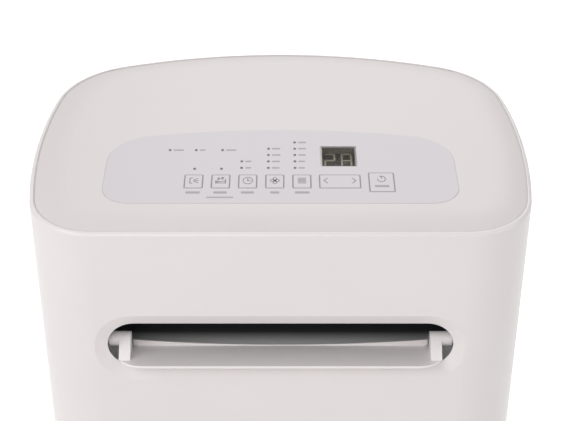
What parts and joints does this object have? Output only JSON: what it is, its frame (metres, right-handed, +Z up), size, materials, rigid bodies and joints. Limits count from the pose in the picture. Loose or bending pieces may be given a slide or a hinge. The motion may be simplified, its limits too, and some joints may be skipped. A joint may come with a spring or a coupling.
{
  "type": "dehumidifying portable air conditioner",
  "caption": "Free-standing room air dryer and cooler on castors: bowed cabinet, domed key panel on top, swinging front outlet flap, rear louvres, hose collar.",
  "frame": {"origin": "on the floor under the middle of the cabinet", "axes": "+Z up, the control panel and air outlet face -Y, +X to the right seen from the front"},
  "size_m": [0.44, 0.333, 0.7038],
  "materials": {
    "white_abs": "fine texture",
    "panel_film": "satin",
    "clear_window": "clear",
    "dark_lamp": "gloss",
    "dark_abs": "matte",
    "grey_abs": "matte",
    "circuit_board": "satin",
    "fin_aluminium": "brushed",
    "pipe_copper": "drawn",
    "black_paint": "satin",
    "zinc_steel": "zinc",
    "black_rubber": "matte",
    "castor_nylon": "matte"
  },
  "bodies": {
    "cabinet": {"base_tray": "grey_abs", "compressor": "black_paint", "compressor_grommets": "black_rubber", "condenser_blower_case": "dark_abs", "condenser_fan_motor": "zinc_steel", "condenser_fins": "fin_aluminium", "condenser_tubes": "pipe_copper", "control_board": "circuit_board", "control_overlay": "panel_film", "cord_gland": "black_rubber", "discharge_pipe": "pipe_copper", "display_module": "dark_lamp", "display_window": "clear_window", "electrical_box": "grey_abs", "evaporator_blower_case": "dark_abs", "evaporator_fan_motor": "zinc_steel", "evaporator_fins": "fin_aluminium", "evaporator_tubes": "pipe_copper", "exhaust_collar": "white_abs", "float_switch": "grey_abs", "front_housing": "white_abs", "housing_screws": "zinc_steel", "indicator_lamps": "dark_lamp", "liquid_line": "pipe_copper", "main_board": "circuit_board", "mid_deck": "grey_abs", "outlet_duct": "dark_abs", "rear_housing": "white_abs", "reversing_valve": "pipe_copper", "run_capacitor": "fin_aluminium", "side_handles": "white_abs", "slinger_motor": "zinc_steel", "suction_pipe": "pipe_copper", "swing_motor": "zinc_steel", "top_cover": "white_abs"},
    "flap": {"outlet_flap": "white_abs"},
    "filter": {"air_filter": "grey_abs"},
    "evaporator_rotor": {"evaporator_blower_wheel": "dark_abs", "evaporator_fan_shaft": "zinc_steel"},
    "condenser_rotor": {"condenser_blower_wheel": "dark_abs", "condenser_fan_shaft": "zinc_steel"},
    "slinger": {"slinger_wheel": "dark_abs"},
    "float": {"float_ring": "grey_abs"},
    "upper_plug": {"upper_drain_plug": "black_rubber"},
    "lower_plug": {"lower_drain_plug": "black_rubber"},
    "key_swing": {"key_swing": "white_abs"},
    "key_sleep": {"key_sleep": "white_abs"},
    "key_timer": {"key_timer": "white_abs"},
    "key_fan": {"key_fan": "white_abs"},
    "key_mode": {"key_mode": "white_abs"},
    "key_power": {"key_power": "white_abs"},
    "rocker": {"rocker_key": "white_abs"},
    "castor_1": {"castor_fork_1": "castor_nylon"},
    "castor_1_wheel": {"castor_wheel_1": "castor_nylon"},
    "castor_2": {"castor_fork_2": "castor_nylon"},
    "castor_2_wheel": {"castor_wheel_2": "castor_nylon"},
    "castor_3": {"castor_fork_3": "castor_nylon"},
    "castor_3_wheel": {"castor_wheel_3": "castor_nylon"},
    "castor_4": {"castor_fork_4": "castor_nylon"},
    "castor_4_wheel": {"castor_wheel_4": "castor_nylon"}
  },
  "joints": [
    {"name": "flap_swing", "type": "hinge", "parent": "cabinet", "child": "flap", "pos_m": [0, -0.1347, 0.572], "axis": [1, 0, 0], "range_deg": [-75, 3]},
    {"name": "key_swing_press", "type": "slide", "parent": "cabinet", "child": "key_swing", "axis": [0, 0, -1], "range_m": [0, 0.0004], "stiffness_N_per_m": 400, "springref_m": -0.0005},
    {"name": "key_sleep_press", "type": "slide", "parent": "cabinet", "child": "key_sleep", "axis": [0, 0, -1], "range_m": [0, 0.0004], "stiffness_N_per_m": 400, "springref_m": -0.0005},
    {"name": "key_timer_press", "type": "slide", "parent": "cabinet", "child": "key_timer", "axis": [0, 0, -1], "range_m": [0, 0.0004], "stiffness_N_per_m": 400, "springref_m": -0.0005},
    {"name": "key_fan_press", "type": "slide", "parent": "cabinet", "child": "key_fan", "axis": [0, 0, -1], "range_m": [0, 0.0004], "stiffness_N_per_m": 400, "springref_m": -0.0005},
    {"name": "key_mode_press", "type": "slide", "parent": "cabinet", "child": "key_mode", "axis": [0, 0, -1], "range_m": [0, 0.0004], "stiffness_N_per_m": 400, "springref_m": -0.0005},
    {"name": "key_power_press", "type": "slide", "parent": "cabinet", "child": "key_power", "axis": [0, 0, -1], "range_m": [0, 0.0004], "stiffness_N_per_m": 400, "springref_m": -0.0005},
    {"name": "rocker_tilt", "type": "hinge", "parent": "cabinet", "child": "rocker", "pos_m": [0.0514, -0.0823, 0.6991], "axis": [0, 1, 0], "range_deg": [-1.1, 1.1], "stiffness_Nm_per_rad": 0.05},
    {"name": "evaporator_blower_spin", "type": "hinge", "parent": "cabinet", "child": "evaporator_rotor", "pos_m": [0, -0.075, 0.425], "axis": [0, 1, 0], "continuous": true},
    {"name": "condenser_blower_spin", "type": "hinge", "parent": "cabinet", "child": "condenser_rotor", "pos_m": [0.005, 0, 0.166], "axis": [1, 0, 0], "continuous": true},
    {"name": "slinger_spin", "type": "hinge", "parent": "cabinet", "child": "slinger", "pos_m": [0.165, -0.02, 0.084], "axis": [1, 0, 0], "continuous": true},
    {"name": "float_rise", "type": "slide", "parent": "cabinet", "child": "float", "axis": [0, 0, 1], "range_m": [0, 0.01]},
    {"name": "filter_slide", "type": "slide", "parent": "cabinet", "child": "filter", "axis": [1, 0, 0], "range_m": [0, 0.34]},
    {"name": "upper_plug_pull", "type": "slide", "parent": "cabinet", "child": "upper_plug", "axis": [0, 1, 0], "range_m": [0, 0.03]},
    {"name": "lower_plug_pull", "type": "slide", "parent": "cabinet", "child": "lower_plug", "axis": [0, 1, 0], "range_m": [0, 0.03]},
    {"name": "castor_1_swivel", "type": "hinge", "parent": "cabinet", "child": "castor_1", "pos_m": [-0.165, -0.095, 0.05], "axis": [0, 0, 1], "continuous": true},
    {"name": "castor_1_roll", "type": "hinge", "parent": "castor_1", "child": "castor_1_wheel", "pos_m": [-0.165, -0.081, 0.02], "axis": [1, 0, 0], "continuous": true},
    {"name": "castor_2_swivel", "type": "hinge", "parent": "cabinet", "child": "castor_2", "pos_m": [0.165, -0.095, 0.05], "axis": [0, 0, 1], "continuous": true},
    {"name": "castor_2_roll", "type": "hinge", "parent": "castor_2", "child": "castor_2_wheel", "pos_m": [0.165, -0.081, 0.02], "axis": [1, 0, 0], "continuous": true},
    {"name": "castor_3_swivel", "type": "hinge", "parent": "cabinet", "child": "castor_3", "pos_m": [-0.168, 0.085, 0.05], "axis": [0, 0, 1], "continuous": true},
    {"name": "castor_3_roll", "type": "hinge", "parent": "castor_3", "child": "castor_3_wheel", "pos_m": [-0.168, 0.099, 0.02], "axis": [1, 0, 0], "continuous": true},
    {"name": "castor_4_swivel", "type": "hinge", "parent": "cabinet", "child": "castor_4", "pos_m": [0.168, 0.085, 0.05], "axis": [0, 0, 1], "continuous": true},
    {"name": "castor_4_roll", "type": "hinge", "parent": "castor_4", "child": "castor_4_wheel", "pos_m": [0.168, 0.099, 0.02], "axis": [1, 0, 0], "continuous": true}
  ]
}
